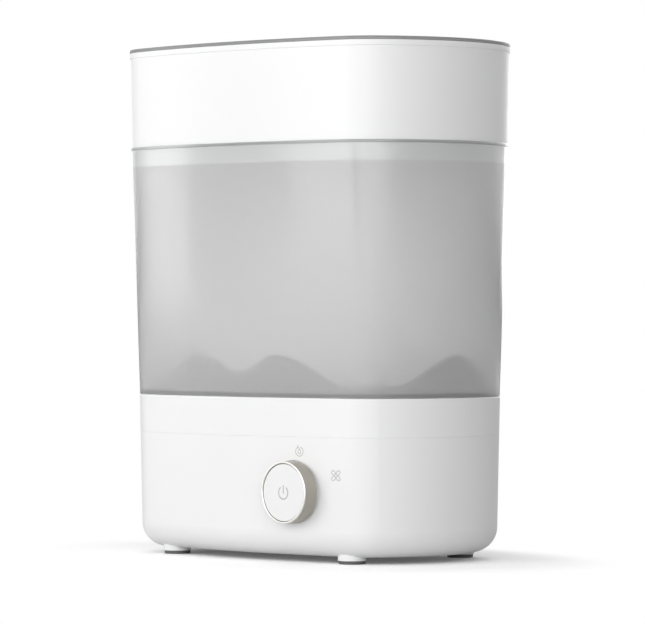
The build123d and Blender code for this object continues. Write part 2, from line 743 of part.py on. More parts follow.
with BuildPart() as knob_core:
    round_bar(knob_plane(core_y), ring_bore - press_clearance, -(core_back_y - core_y))
    round_bar(knob_plane(core_back_y), hub_radius, -(hub_end_y - core_back_y))
    round_bar(knob_plane(core_y), spring_pocket_radius, -spring_pocket_depth, mode=Mode.SUBTRACT)
    round_bar(knob_plane(core_y), stem_radius + stem_clearance, -(hub_end_y - core_y), mode=Mode.SUBTRACT)
    round_bar(knob_plane(retainer_y - groove_slack), hub_radius + slide_clearance,
              -(retainer_thickness + 2 * groove_slack), bore=hub_radius - groove_depth, mode=Mode.SUBTRACT)
finish(knob_core, "knob_core")

retainer_radius = 12.5
retainer_slot = 6.0

with BuildPart() as knob_retainer:
    round_bar(knob_plane(retainer_y), retainer_radius, -retainer_thickness,
              bore=hub_radius - groove_depth + press_clearance)
    block(knob_plane(retainer_y), retainer_slot, retainer_radius, -retainer_thickness,
          places=[(0, -retainer_radius / 2)], mode=Mode.SUBTRACT)
finish(knob_retainer, "knob_retainer")

# Return spring round the stem: a coil between the button's back and the hub's pocket
spring_wire = 0.4
spring_radius = 5.0
spring_turns = 3.0
spring_seat_gap = 0.1
spring_length = core_gap + spring_pocket_depth - 2 * (spring_wire + spring_seat_gap)
spring_start_y = core_y + spring_pocket_depth - spring_wire - spring_seat_gap

with BuildPart() as button_spring:
    with BuildLine() as coil:
        Helix(pitch=spring_length / spring_turns, height=spring_length, radius=spring_radius,
              center=(knob_x, spring_start_y, knob_z), direction=(0, -1, 0))
    with BuildSketch(Plane(origin=coil.line @ 0, z_dir=coil.line % 0)):
        Circle(spring_wire)
    sweep(path=coil.line, is_frenet=True)
finish(button_spring, "button_spring")

# Control board, hollow-shaft encoder and push switch, all on the knob's axis
switch_size = 6.2
plunger_radius = 1.75
plunger_clearance = 0.15
plunger_seat = 0.5
encoder_clearance = 0.15

with BuildPart() as control_board:
    block(Plane(origin=(control_board_x, control_board_y, knob_z), x_dir=(1, 0, 0), z_dir=(0, -1, 0)),
          control_board_width, control_board_height, -board_thickness)
    round_bar(knob_plane(control_board_y), board_screw_radius + slide_clearance, -board_thickness,
              places=control_post_places, mode=Mode.SUBTRACT)
finish(control_board, "control_board")

with BuildPart() as mode_encoder:
    block(knob_plane(control_board_y), encoder_size, encoder_size, encoder_depth)
    round_bar(knob_plane(control_board_y), hub_radius + encoder_clearance, encoder_depth, mode=Mode.SUBTRACT)
finish(mode_encoder, "mode_encoder")

with BuildPart() as push_switch:
    block(knob_plane(control_board_y), switch_size, switch_size, switch_height)
    round_bar(knob_plane(switch_y), plunger_radius + plunger_clearance,
              -(switch_height - edge_break), mode=Mode.SUBTRACT)
finish(push_switch, "push_switch")

with BuildPart() as switch_plunger:
    round_bar(knob_plane(stem_end_y), plunger_radius, -(switch_y + plunger_seat - stem_end_y))
finish(switch_plunger, "switch_plunger")

# Parts on the control board's back: a controller chip, a connector and two capacitors
chip_size = 12.0
chip_height = 1.6
connector_width = 18.0
connector_depth = 6.0
connector_height = 8.0
small_capacitor_radius = 4.0
small_capacitor_height = 9.0
board_back = Plane(origin=(control_board_x, control_board_y + board_thickness, knob_z),
                   x_dir=(-1, 0, 0), z_dir=(0, 1, 0))
board_margin = 10.0

with BuildPart() as control_board_parts:
    block(board_back, chip_size, chip_size, chip_height, places=[(board_margin, -board_margin / 2)])
    block(board_back, connector_width, connector_depth, connector_height,
          places=[(0, control_board_height / 2 - connector_depth)])
    round_bar(board_back, small_capacitor_radius, small_capacitor_height,
              places=[(-board_margin, -board_margin), (-board_margin, board_margin / 2)])
finish(control_board_parts, "control_board_parts")

# Power board with its transformer, relay, capacitors and terminal block
transformer_width = 28.0
transformer_depth = 24.0
transformer_height = 22.0
relay_width = 20.0
relay_depth = 15.0
relay_height = 17.0
capacitor_radius = 7.0
capacitor_height = 22.0
terminal_block_width = 10.0
terminal_block_depth = 40.0
terminal_block_height = 12.0
component_gap = 2.0
power_board_top = power_board_height + board_thickness
board_screw_reach = board_thickness + board_screw_length - edge_break

with BuildPart() as power_board:
    block(Plane.XY.offset(power_board_height), power_board_width, power_board_depth, board_thickness,
          places=[(power_board_x, 0)])
    round_bar(Plane.XY.offset(power_board_height), board_screw_radius + slide_clearance, board_thickness,
              places=power_post_places, mode=Mode.SUBTRACT)
finish(power_board, "power_board")

with BuildPart() as power_board_parts:
    block(Plane.XY.offset(power_board_top), transformer_width, transformer_depth, transformer_height,
          corner=collar_round,
          places=[(power_board_x - transformer_width / 2, transformer_depth / 2 + component_gap)])
    block(Plane.XY.offset(power_board_top), relay_width, relay_depth, relay_height, corner=collar_round,
          places=[(power_board_x + s * (relay_width + component_gap) / 2, -relay_depth) for s in (-1, 1)])
    round_bar(Plane.XY.offset(power_board_top), capacitor_radius, capacitor_height,
              places=[(power_board_x + capacitor_radius + component_gap,
                       capacitor_radius + 2 * component_gap)])
    block(Plane.XY.offset(power_board_top), terminal_block_width, terminal_block_depth, terminal_block_height,
          places=[(power_board_x + power_board_width / 2 - terminal_block_width, 0)])
finish(power_board_parts, "power_board_parts")

with BuildPart() as board_screws:
    round_bar(Plane.XY.offset(power_board_top), board_screw_head, board_screw_head_height,
              places=power_post_places)
    round_bar(Plane.XY.offset(power_board_top), board_screw_radius, -board_screw_reach,
              places=power_post_places)
    round_bar(knob_plane(control_board_y + board_thickness), board_screw_head, -board_screw_head_height,
              places=control_post_places)
    round_bar(knob_plane(control_board_y + board_thickness), board_screw_radius, board_screw_reach,
              places=control_post_places)
finish(board_screws, "board_screws")

# Large basket: frosted wall with a lip, a slotted floor and a skirt that nests in the collar
lip_height = 2.0
lip_round = 0.6
floor_thickness = 2.6
floor_lift = 0.6
large_floor = base_height + floor_lift
large_floor_top = large_floor + floor_thickness
skirt_depth = 9.0
skirt_wall = 2.0
slot_length = 22.0
slot_width = 4.0
slot_pitch_x = 27.0
slot_pitch_y = 9.0
slot_columns = 8
slot_rows = 11
slot_margin = 3.0
large_lip_bottom = large_lip_top - lip_height
large_skirt_inset = base_inset(deck_top) + collar_wall + nest_clearance


def rim_distance(x, y):
    """How far a point stands in from the rim outline."""
    if math.atan2(abs(x), abs(y) + front_centre) < math.radians(front_half_angle):
        return front_radius - math.hypot(x, abs(y) + front_centre)
    if math.atan2(abs(y), abs(x) - side_centre) < math.radians(side_half_angle):
        return side_radius - math.hypot(abs(x) - side_centre, y)
    return corner_radius - math.hypot(abs(x) - corner_x, abs(y) - corner_y)


def floor_slots(level, thickness, inset):
    """Cut the steam slots of a basket's floor, where a whole slot clears the wall."""
    grid = [
        ((i - (slot_columns - 1) / 2) * slot_pitch_x, (j - (slot_rows - 1) / 2) * slot_pitch_y)
        for i in range(slot_columns) for j in range(slot_rows)
    ]
    clear = [
        (x, y) for x, y in grid
        if rim_distance(abs(x) + slot_length / 2, abs(y) + slot_width / 2) > inset + slot_margin
    ]
    with BuildSketch(Plane.XY.offset(level)) as slots:
        with Locations(*clear):
            SlotOverall(slot_length, slot_width)
    extrude(slots.sketch, amount=thickness, mode=Mode.SUBTRACT)


with BuildPart() as large_basket:
    tapered(base_height, large_inset_bottom, large_lip_top, large_inset_top)
    tapered(large_lip_bottom, large_lip_inset, large_lip_top, large_lip_inset)
    fillet(large_basket.faces().sort_by(Axis.Z)[-1].edges(), lip_round)
    tapered(large_floor_top, large_inset(large_floor_top) + basket_wall, large_lip_top,
            large_inset_top + basket_wall, mode=Mode.SUBTRACT)
    tapered(base_height, large_skirt_inset + skirt_wall, large_floor, large_skirt_inset + skirt_wall,
            mode=Mode.SUBTRACT)
    tapered(base_height - skirt_depth, large_skirt_inset, base_height, large_skirt_inset)
    tapered(base_height - skirt_depth, large_skirt_inset + skirt_wall, base_height,
            large_skirt_inset + skirt_wall, mode=Mode.SUBTRACT)
    floor_slots(large_floor, floor_thickness, large_skirt_inset + skirt_wall)
finish(large_basket, "large_basket")

# Bottle rack: a floor plate with six bottle places, divider walls and a wavy rim
bottle_pitch_x = 75.0
bottle_pitch_y = 68.0
bottle_columns = 3
bottle_rows = 2
bottle_hole_radius = 17.0
rack_gap = 3.2
rack_wall = 2.0
rack_plate = 2.0
rack_peak = 27.0
rack_saddle = 14.0
rack_low = 6.0
rack_wave_end = 97.0
side_wave_end = 48.0
rack_inset = large_inset(large_floor_top) + basket_wall + rack_gap
rack_bottom = large_floor_top
dividers = [(i - (bottle_columns - 2) / 2) * bottle_pitch_x for i in range(bottle_columns - 1)]


def wave_cutter(plane, peaks, end, reach, length):
    """Solid above a wavy line with a peak at each place given and a saddle between two of them."""
    saddles = [(a + b) / 2 for a, b in zip(peaks, peaks[1:])]
    crests = [(x, rack_bottom + rack_peak) for x in peaks]
    dips = [(x, rack_bottom + rack_saddle) for x in saddles]
    line = [(-end, rack_bottom + rack_low), *sorted(crests + dips), (end, rack_bottom + rack_low)]
    top = rack_bottom + 2 * rack_peak
    with BuildSketch(plane) as above:
        with BuildLine() as edge:
            Spline(*line, tangents=[(1, 0)] * len(line))
            Polyline(line[-1], (reach, line[-1][1]), (reach, top), (-reach, top), (-reach, line[0][1]),
                     line[0])
        make_face(edge.edges())
    extrude(above.sketch, amount=length, both=True, mode=Mode.SUBTRACT)


with BuildPart() as rack_front_and_back:
    tapered(rack_bottom, rack_inset, rack_bottom + rack_peak, rack_inset)
    tapered(rack_bottom + rack_plate, rack_inset + rack_wall, rack_bottom + rack_peak, rack_inset + rack_wall,
            mode=Mode.SUBTRACT)
    block(Plane.XY.offset(rack_bottom), rack_wall, rim_depth - 2 * (rack_inset + rack_wall / 2), rack_peak,
          places=[(x, 0) for x in dividers])
    block(Plane.XY.offset(rack_bottom), 2 * rack_wave_end, rim_depth, rack_peak, mode=Mode.INTERSECT)
    wave_cutter(Plane.XZ, dividers, rack_wave_end, rack_wave_end + rack_wall, rim_depth)

with BuildPart() as bottle_rack:
    tapered(rack_bottom, rack_inset, rack_bottom + rack_peak, rack_inset)
    tapered(rack_bottom + rack_plate, rack_inset + rack_wall, rack_bottom + rack_peak, rack_inset + rack_wall,
            mode=Mode.SUBTRACT)
    block(Plane.XY.offset(rack_bottom), rim_width - 2 * (rack_inset + rack_wall / 2), rack_wall, rack_peak)
    wave_cutter(Plane.YZ, [0.0], side_wave_end, rim_depth, rim_width)
    block(Plane.XY.offset(rack_bottom), 2 * rack_wave_end, rim_depth, rack_peak, mode=Mode.SUBTRACT)
    add(rack_front_and_back.part)
    with BuildSketch(Plane.XY.offset(rack_bottom)):
        with GridLocations(bottle_pitch_x, bottle_pitch_y, bottle_columns, bottle_rows):
            Circle(bottle_hole_radius)
    extrude(amount=rack_plate, mode=Mode.SUBTRACT)
finish(bottle_rack, "bottle_rack")

# Small basket: white wall with a lip, a slotted floor and a skirt nested in the large basket
nest_depth = 13.9
small_lip_height = 3.9
small_lip_round = 0.8
small_floor_thickness = 2.4
small_skirt_wall = 2.0
small_bottom = large_lip_top - nest_depth
small_floor_top = small_bottom + small_floor_thickness
skirt_inset_bottom = large_inset(small_bottom) + basket_wall + nest_clearance
skirt_inset_top = large_inset_top + basket_wall + nest_clearance
small_lip_bottom = small_lip_top - small_lip_height
mouth_inset = small_inset_top + basket_wall

with BuildPart() as small_basket:
    tapered(large_lip_top, small_inset_bottom, small_lip_top, small_inset_top)
    chamfer(small_basket.edges().group_by(Axis.Z)[0], edge_break)
    tapered(small_lip_bottom, 0, small_lip_top, 0)
    fillet(small_basket.faces().sort_by(Axis.Z)[-1].edges(), edge_break)
    tapered(small_bottom, skirt_inset_bottom, large_lip_top, skirt_inset_top)
    fillet(small_basket.edges().group_by(Axis.Z)[0], small_lip_round)
    tapered(small_floor_top, skirt_inset_bottom + small_skirt_wall, small_lip_top, mouth_inset,
            mode=Mode.SUBTRACT)
    floor_slots(small_bottom, small_floor_thickness, skirt_inset_bottom + small_skirt_wall)
finish(small_basket, "small_basket")

# Lid: frosted plate with a rounded edge, a ring inside the basket's mouth, a grip recess and vents
lid_round = 1.0
lid_ring_depth = 6.0
lid_ring_wall = 1.8
panel_inset = 15.0
panel_depth = 0.8
grip_length = 96.0
grip_width = 54.0
grip_depth = 20.0
grip_wall = 2.0
grip_bar_width = 20.0
grip_bar_thickness = 5.0
vent_length = 14.0
vent_width = 3.0
vent_pitch = 20.0
vent_count = 7
vent_y = 60.0
panel_top = lid_top - panel_depth
lid_ring_inset = mouth_inset + nest_clearance

with BuildPart() as lid:
    tapered(small_lip_top, 0, lid_top, 0)
    fillet(lid.edges().group_by(Axis.Z)[-1], lid_round)
    fillet(lid.edges().group_by(Axis.Z)[0], edge_break)
    tapered(panel_top, panel_inset, lid_top, panel_inset, mode=Mode.SUBTRACT)
    tapered(small_lip_top - lid_ring_depth, lid_ring_inset, small_lip_top, lid_ring_inset)
    tapered(small_lip_top - lid_ring_depth, lid_ring_inset + lid_ring_wall, small_lip_top,
            lid_ring_inset + lid_ring_wall, mode=Mode.SUBTRACT)
    with BuildSketch(Plane.XY.offset(panel_top)):
        SlotOverall(grip_length + 2 * grip_wall, grip_width + 2 * grip_wall)
    extrude(amount=-(grip_depth + grip_wall))
    with BuildSketch(Plane.XY.offset(panel_top)):
        SlotOverall(grip_length, grip_width)
    extrude(amount=-grip_depth, mode=Mode.SUBTRACT)
    block(Plane.XY.offset(panel_top - grip_bar_thickness), grip_bar_width, grip_width + grip_wall,
          grip_bar_thickness)
    with BuildSketch(Plane.XY.offset(small_lip_top)):
        with Locations(*[((i - (vent_count - 1) / 2) * vent_pitch, vent_y) for i in range(vent_count)]):
            SlotOverall(vent_length, vent_width)
    extrude(amount=lid_edge, mode=Mode.SUBTRACT)
finish(lid, "lid")
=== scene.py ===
import math

import bmesh
import bpy
from mathutils import Matrix, Vector


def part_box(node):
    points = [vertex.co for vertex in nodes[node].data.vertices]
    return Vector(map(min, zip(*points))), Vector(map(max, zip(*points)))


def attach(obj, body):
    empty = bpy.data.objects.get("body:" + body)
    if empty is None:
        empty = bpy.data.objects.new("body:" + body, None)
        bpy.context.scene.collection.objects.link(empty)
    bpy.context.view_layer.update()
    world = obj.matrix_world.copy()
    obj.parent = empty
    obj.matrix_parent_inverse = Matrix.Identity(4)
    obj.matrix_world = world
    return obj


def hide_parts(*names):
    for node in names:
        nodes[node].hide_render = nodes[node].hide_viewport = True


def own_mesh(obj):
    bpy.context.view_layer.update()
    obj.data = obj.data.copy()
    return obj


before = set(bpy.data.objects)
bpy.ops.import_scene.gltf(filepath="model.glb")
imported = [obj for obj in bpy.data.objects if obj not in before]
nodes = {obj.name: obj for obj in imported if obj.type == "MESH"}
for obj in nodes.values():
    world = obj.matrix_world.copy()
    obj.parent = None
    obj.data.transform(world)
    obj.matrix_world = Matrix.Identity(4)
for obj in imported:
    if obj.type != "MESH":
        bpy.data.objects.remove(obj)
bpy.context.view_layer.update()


# Camera
# It looks at the front from 45 degrees to the right, half way up the object, through a long lens.
camera_turn = math.radians(45)
camera_reach = 2.9456
eye_level = 0.1777
aim = Vector((0.00243, 0.00243, 0.17245))

lens = bpy.data.cameras.new("camera")
lens.lens = 231.85
lens.sensor_width = 36.0
lens.sensor_fit = "HORIZONTAL"
lens.clip_end = 50.0
camera = bpy.data.objects.new("camera", lens)
camera.location = (camera_reach * math.sin(camera_turn), -camera_reach * math.cos(camera_turn), eye_level)
camera.rotation_euler = (aim - camera.location).to_track_quat("-Z", "Y").to_euler()
bpy.context.scene.collection.objects.link(camera)
bpy.context.scene.camera = camera
bpy.context.scene.view_settings.view_transform = "Standard"


# Stage
# A plain pale floor that keeps the object's soft shadow and fades into the white background, lit by five soft boxes.
# Every finish below is a material of nodes, made by the two classes here.
class Socket:
    """A shader socket whose arithmetic adds Math nodes."""

    def __init__(self, finish, link):
        self.finish = finish
        self.link = link

    def maths(self, operation, *values):
        return self.finish.node("ShaderNodeMath", {"operation": operation}, dict(enumerate(values)))

    def __add__(self, other):
        return self.maths("ADD", self, other)

    def __sub__(self, other):
        return self.maths("SUBTRACT", self, other)

    def __mul__(self, other):
        return self.maths("MULTIPLY", self, other)


class Finish:
    """A material of nodes, whose patterns lie on the object's own coordinates."""

    def __init__(self, name, **constants):
        self.material = bpy.data.materials.new(name)
        self.material.use_nodes = True
        self.nodes = self.material.node_tree.nodes
        self.links = self.material.node_tree.links
        self.shader = self.nodes["Principled BSDF"]
        for socket, value in constants.items():
            self.shader.inputs[socket.replace("_", " ").title().replace("Ior", "IOR")].default_value = value
        self.place = self.node("ShaderNodeTexCoord", {}, {}, "Object")

    def node(self, kind, settings, inputs, output=0):
        """Add a node: its settings first, then its sockets' values or links."""
        added = self.nodes.new(kind)
        for name, value in settings.items():
            setattr(added, name, value)
        for name, value in inputs.items():
            self.join(added.inputs[name], value)
        return Socket(self, added.outputs[output])

    def join(self, socket, value):
        if isinstance(value, Socket):
            self.links.new(value.link, socket)
        else:
            socket.default_value = value

    def wear(self, **inputs):
        """Join varying values to the shader's sockets."""
        for name, value in inputs.items():
            self.join(self.shader.inputs[name.replace("_", " ").title()], value)
        return self

    def noise(self, scale, detail=2.0, stretch=(1, 1, 1)):
        place = self.node("ShaderNodeMapping", {}, {"Vector": self.place, "Scale": stretch})
        return self.node("ShaderNodeTexNoise", {}, {"Vector": place, "Scale": scale, "Detail": detail})

    def blend(self, factor, low, high):
        """Mix two colours."""
        return self.node("ShaderNodeMix", {"data_type": "RGBA"}, {0: factor, 6: low, 7: high}, 2)

    def ramp(self, value, start, end):
        """Go from 0 to 1 while a value goes from start to end."""
        return self.node("ShaderNodeMapRange", {}, {"Value": value, "From Min": start, "From Max": end})

    def coordinate(self, axis):
        return self.node("ShaderNodeSeparateXYZ", {}, {"Vector": self.place}, axis)

    def bump(self, height, depth):
        return self.node("ShaderNodeBump", {}, {"Strength": 1.0, "Distance": depth, "Height": height})


floor_reach = 12.0
shadow_size = (0.155, 0.095)
shadow_fade = (1.1, 1.65)
shadow_left = 0.08
floor_lit, floor_seen = 0.8, 1.3
dim_world = 0.25
lamp_aim = Vector((0, 0, 0.18))


def stage():
    mesh = bmesh.new()
    bmesh.ops.create_grid(mesh, x_segments=1, y_segments=1, size=floor_reach)
    data = bpy.data.meshes.new("floor")
    mesh.to_mesh(data)
    mesh.free()
    floor = bpy.data.objects.new("floor", data)
    bpy.context.scene.collection.objects.link(floor)

    finish = Finish("floor_finish", roughness=0.9)
    seen = finish.node("ShaderNodeLightPath", {}, {}, "Is Camera Ray")
    plan = finish.node("ShaderNodeMapping", {}, {"Vector": finish.place,
                                                 "Scale": (1 / shadow_size[0], 1 / shadow_size[1], 0)})
    reach = finish.node("ShaderNodeVectorMath", {"operation": "LENGTH"}, {0: plan}, "Value")
    fade = finish.node("ShaderNodeMapRange", {"interpolation_type": "SMOOTHSTEP"},
                       {"Value": reach, "From Min": shadow_fade[0], "From Max": shadow_fade[1], "To Min": shadow_left})
    paint = finish.node("ShaderNodeBsdfDiffuse", {}, {"Color": finish.blend(seen, (floor_lit,) * 3 + (1,),
                                                                            (floor_seen,) * 3 + (1,))})
    glow = finish.node("ShaderNodeEmission", {}, {"Strength": 1.0})
    surface = finish.node("ShaderNodeMixShader", {}, {0: seen * fade, 1: paint, 2: glow})
    finish.join(finish.nodes["Material Output"].inputs["Surface"], surface)
    data.materials.append(finish.material)

    world = bpy.data.worlds.new("studio")
    world.use_nodes = True
    bpy.context.scene.world = world
    links = world.node_tree.links
    path = world.node_tree.nodes.new("ShaderNodeLightPath")
    dim = world.node_tree.nodes["Background"]
    white = world.node_tree.nodes.new("ShaderNodeBackground")
    mix = world.node_tree.nodes.new("ShaderNodeMixShader")
    shown = path.outputs["Is Camera Ray"]
    for kind in ("Is Glossy Ray", "Is Transmission Ray"):
        most = world.node_tree.nodes.new("ShaderNodeMath")
        most.operation = "MAXIMUM"
        links.new(shown, most.inputs[0])
        links.new(path.outputs[kind], most.inputs[1])
        shown = most.outputs[0]
    dim.inputs["Color"].default_value = (1, 1, 1, 1)
    dim.inputs["Strength"].default_value = dim_world
    white.inputs["Color"].default_value = (1, 1, 1, 1)
    links.new(shown, mix.inputs[0])
    links.new(dim.outputs[0], mix.inputs[1])
    links.new(white.outputs[0], mix.inputs[2])
    links.new(mix.outputs[0], world.node_tree.nodes["World Output"].inputs["Surface"])

    def soft_box(name, turn, reach, height, size, power):
        """Hang a lamp at a turn from the front, in degrees towards the right, aimed at the object."""
        light = bpy.data.lights.new(name, "AREA")
        light.shape = "RECTANGLE"
        light.size, light.size_y = size
        light.energy = power
        lamp = bpy.data.objects.new(name, light)
        turn = math.radians(turn)
        lamp.location = (reach * math.sin(turn), -reach * math.cos(turn), height)
        lamp.rotation_euler = (lamp_aim - lamp.location).to_track_quat("-Z", "Y").to_euler()
        bpy.context.scene.collection.objects.link(lamp)

    soft_box("key", -10, 2.1, 0.55, (1.5, 1.7), 19.1)
    soft_box("fill", 42, 2.2, 0.6, (2.2, 1.6), 22.6)
    soft_box("left_strip", -62, 1.7, 0.3, (0.38, 1.5), 5.0)
    soft_box("overhead", 0, 0.1, 2.2, (1.6, 1.6), 9.0)
    soft_box("behind", -145, 2.2, 0.9, (1.6, 1.6), 13.0)


stage()


# Base shell
# A tub and a collar moulded in glossy white polypropylene, closed by four long zinc-plated screws that go up
# through the feet, each foot shod with a pressed-in rubber pad.
def dress(finish, *names):
    """Give CAD nodes a finish."""
    for name in names:
        for slot in nodes[name].material_slots:
            slot.material = finish.material


def white_plastic(name, colour):
    finish = Finish(name, ior=1.5)
    cloud = finish.noise(9.0)
    grain = finish.noise(2600.0)
    darker = tuple(0.97 * c for c in colour[:3]) + (1,)
    return finish.wear(base_color=finish.blend(cloud, darker, colour), roughness=cloud * 0.08 + 0.32,
                       normal=finish.bump(grain, 0.00002))


shell = white_plastic("white_shell", (0.90, 0.90, 0.905, 1))
dress(shell, "base_housing", "base_cover")


def grey(value):
    return (value, value, value * 1.005, 1)


def rubber(name, dark, light):
    finish = Finish(name, ior=1.5)
    cloud = finish.noise(300.0)
    return finish.wear(base_color=finish.blend(cloud, grey(dark), grey(light)), roughness=cloud * 0.2 + 0.6,
                       normal=finish.bump(cloud, 0.00003))


def bare_metal(name, dark, light, roughness, stretch=(1, 1, 1)):
    """A metal surface with a slow change of tone and fine lines or specks of wear."""
    finish = Finish(name, metallic=1.0)
    lines = finish.noise(900.0, stretch=stretch)
    cloud = finish.noise(40.0)
    return finish.wear(base_color=finish.blend(cloud, dark, light), roughness=lines * 0.16 + roughness,
                       normal=finish.bump(lines, 0.000004))


zinc = bare_metal("zinc_screws", (0.56, 0.57, 0.58, 1), (0.68, 0.68, 0.67, 1), 0.26)
dress(rubber("foot_rubber", 0.10, 0.14), "foot_pads")
dress(zinc, "housing_screws")


# Heating dish
# A deep-drawn stainless dish that boils the water, held under the deck on a silicone seal by a steel ring and
# screws from below. Its bottom shows the fine rings of the spinning, and pale marks where water has dried.
def spun_steel(name, centre):
    finish = Finish(name, metallic=1.0)
    flat = finish.node("ShaderNodeMapping", {}, {"Vector": finish.place, "Location": (-centre.x, -centre.y, 0),
                                                 "Scale": (1, 1, 0)})
    radius = finish.node("ShaderNodeVectorMath", {"operation": "LENGTH"}, {0: flat}, "Value")
    rings = finish.node("ShaderNodeTexNoise", {"noise_dimensions": "1D"}, {"W": radius, "Scale": 2500.0})
    stain = finish.ramp(finish.noise(60.0, 5.0), 0.52, 0.7)
    return finish.wear(base_color=finish.blend(stain, (0.62, 0.62, 0.62, 1), (0.72, 0.715, 0.70, 1)),
                       roughness=rings * 0.14 + stain * 0.12 + 0.18, normal=finish.bump(rings, 0.00001))


dish_low, dish_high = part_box("heating_plate")
dress(spun_steel("spun_dish", (dish_low + dish_high) / 2), "heating_plate")
dress(rubber("silicone_seal", 0.66, 0.74), "plate_seal")
dress(zinc, "plate_clamp", "clamp_screws")


# Heater under the dish
# A tubular steel element brazed to the dish, dulled brown by heat, with a snap thermostat, a fuse and a sensor
# pressed against the dish on the same brackets.
def moulded(name, dark, light, roughness):
    """Plain dark moulded plastic with the fine grain of its tool."""
    finish = Finish(name, ior=1.5)
    cloud = finish.noise(60.0)
    grain = finish.noise(1800.0)
    return finish.wear(base_color=finish.blend(cloud, dark, light), roughness=grain * 0.1 + roughness,
                       normal=finish.bump(grain, 0.00003))


element_finish = bare_metal("element_steel", (0.30, 0.26, 0.21, 1), (0.47, 0.46, 0.44, 1), 0.36)
component = moulded("dark_component", grey(0.030), grey(0.048), 0.42)
dress(element_finish, "heating_element", "temperature_sensor")
dress(component, "thermostat")
dress(zinc, "thermal_fuse")


# Drying fan
# A black moulded frame with a hub on four struts, an impeller of pitched blades pressed on a ground steel shaft
# that turns in a sintered bronze bush, and a stator wound with enamelled copper wire.
def copper_winding():
    finish = Finish("enamelled_copper", metallic=1.0, coat_weight=0.5)
    turns = finish.node("ShaderNodeTexWave", {"wave_type": "BANDS", "bands_direction": "Z"},
                        {"Vector": finish.place, "Scale": 320.0, "Distortion": 0.6})
    cloud = finish.noise(120.0)
    return finish.wear(base_color=finish.blend(cloud, (0.55, 0.22, 0.10, 1), (0.78, 0.38, 0.18, 1)),
                       roughness=turns * 0.1 + 0.22, normal=finish.bump(turns, 0.0001))


fan_black = moulded("fan_black", grey(0.022), grey(0.034), 0.34)
spring_bright = bare_metal("spring_steel", (0.60, 0.60, 0.60, 1), (0.70, 0.70, 0.71, 1), 0.12, (1, 1, 0.05))
dress(fan_black, "fan_frame", "fan_impeller")
dress(zinc, "fan_screws")
dress(bare_metal("sintered_bronze", (0.42, 0.28, 0.12, 1), (0.58, 0.42, 0.22, 1), 0.38), "fan_bearing")
dress(copper_winding(), "fan_stator")
dress(spring_bright, "fan_shaft")


# Drying duct
# A natural nylon duct from the fan up to the deck round a stack of bare aluminium fins that warm the air, with a
# white louvred cap snapped over the chimney to keep water out.
def natural_nylon():
    finish = Finish("natural_nylon", ior=1.53)
    cloud = finish.noise(25.0)
    return finish.wear(base_color=finish.blend(cloud, (0.70, 0.68, 0.60, 1), (0.78, 0.77, 0.70, 1)),
                       roughness=cloud * 0.1 + 0.40, normal=finish.bump(finish.noise(1500.0), 0.00002))


nylon = natural_nylon()
dress(nylon, "air_duct")
dress(bare_metal("bare_aluminium", (0.66, 0.66, 0.67, 1), (0.78, 0.78, 0.79, 1), 0.30, (0.04, 1, 1)), "drying_heater")
dress(shell, "outlet_cap")


# Circuit boards
# Green boards with darker copper runs under their lacquer, a mode encoder and a push switch on the knob's axis,
# and the transformer, relay and capacitors of the power board. Short screws hold them to posts.
def lacquered_board():
    finish = Finish("board_green", ior=1.55, coat_weight=0.6)
    runs = [
        finish.node("ShaderNodeTexWave", {"wave_type": "BANDS", "bands_direction": direction},
                    {"Vector": finish.place, "Scale": scale, "Distortion": 14.0, "Detail Scale": 0.4})
        for direction, scale in (("X", 60.0), ("Y", 45.0))
    ]
    track = finish.ramp(runs[0] * runs[1], 0.30, 0.34)
    return finish.wear(base_color=finish.blend(track, (0.016, 0.110, 0.040, 1), (0.030, 0.190, 0.070, 1)),
                       roughness=track * -0.08 + 0.40, normal=finish.bump(track, 0.00004))


dress(lacquered_board(), "control_board", "power_board")
dress(component, "mode_encoder", "push_switch", "control_board_parts", "power_board_parts")
dress(nylon, "switch_plunger")
dress(zinc, "board_screws")


# Filter tray and cord bush
# A white grille that slides into the back wall, with a pleated paper filter in a card frame behind it, and next to
# it the grey rubber bush of the mains cord's hole.
def pleated_paper():
    finish = Finish("filter_paper")
    fibres = finish.noise(1400.0, 4.0, (1, 1, 0.2))
    dust = finish.noise(70.0)
    return finish.wear(base_color=finish.blend(dust, (0.70, 0.69, 0.64, 1), (0.84, 0.84, 0.80, 1)),
                       roughness=fibres * 0.1 + 0.85, normal=finish.bump(fibres, 0.00006))


dress(shell, "filter_cover")
dress(pleated_paper(), "air_filter")
dress(rubber("bush_rubber", 0.17, 0.22), "cord_gland")


# Prints on the front
# Grey ink symbols beside the knob, one for the drying fan and one for the full cycle, pad printed on the shell.
# Plan outline: eight tangent arcs, alike front and back, left and right.
rim_low, rim_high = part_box("lid")
rim_width = rim_high.x - rim_low.x
rim_depth = rim_high.y - rim_low.y
front_radius = 0.485
side_radius = 0.106
corner_radius = 0.0412
front_centre = front_radius - rim_depth / 2
side_centre = rim_width / 2 - side_radius
centre_span = math.hypot(front_centre, side_centre)
front_reach = front_radius - corner_radius
side_reach = side_radius - corner_radius
along = (front_reach**2 - side_reach**2 + centre_span**2) / (2 * centre_span)
across = math.sqrt(front_reach**2 - along**2)
corner_x = (side_centre * along + front_centre * across) / centre_span
corner_y = (front_centre * along - side_centre * across) / centre_span - front_centre
front_half_angle = math.atan2(corner_x, front_centre + corner_y)
side_half_angle = math.atan2(corner_y, corner_x - side_centre)
corner_angle = math.pi / 2 - front_half_angle - side_half_angle

base_bottom = 0.0048
base_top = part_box("base_cover")[1].z
base_inset_bottom = 0.00945
base_inset_top = 0.0072


def between(level, low, low_value, high, high_value):
    """Value at a level on a straight line between two others."""
    return low_value + (high_value - low_value) * (level - low) / (high - low)


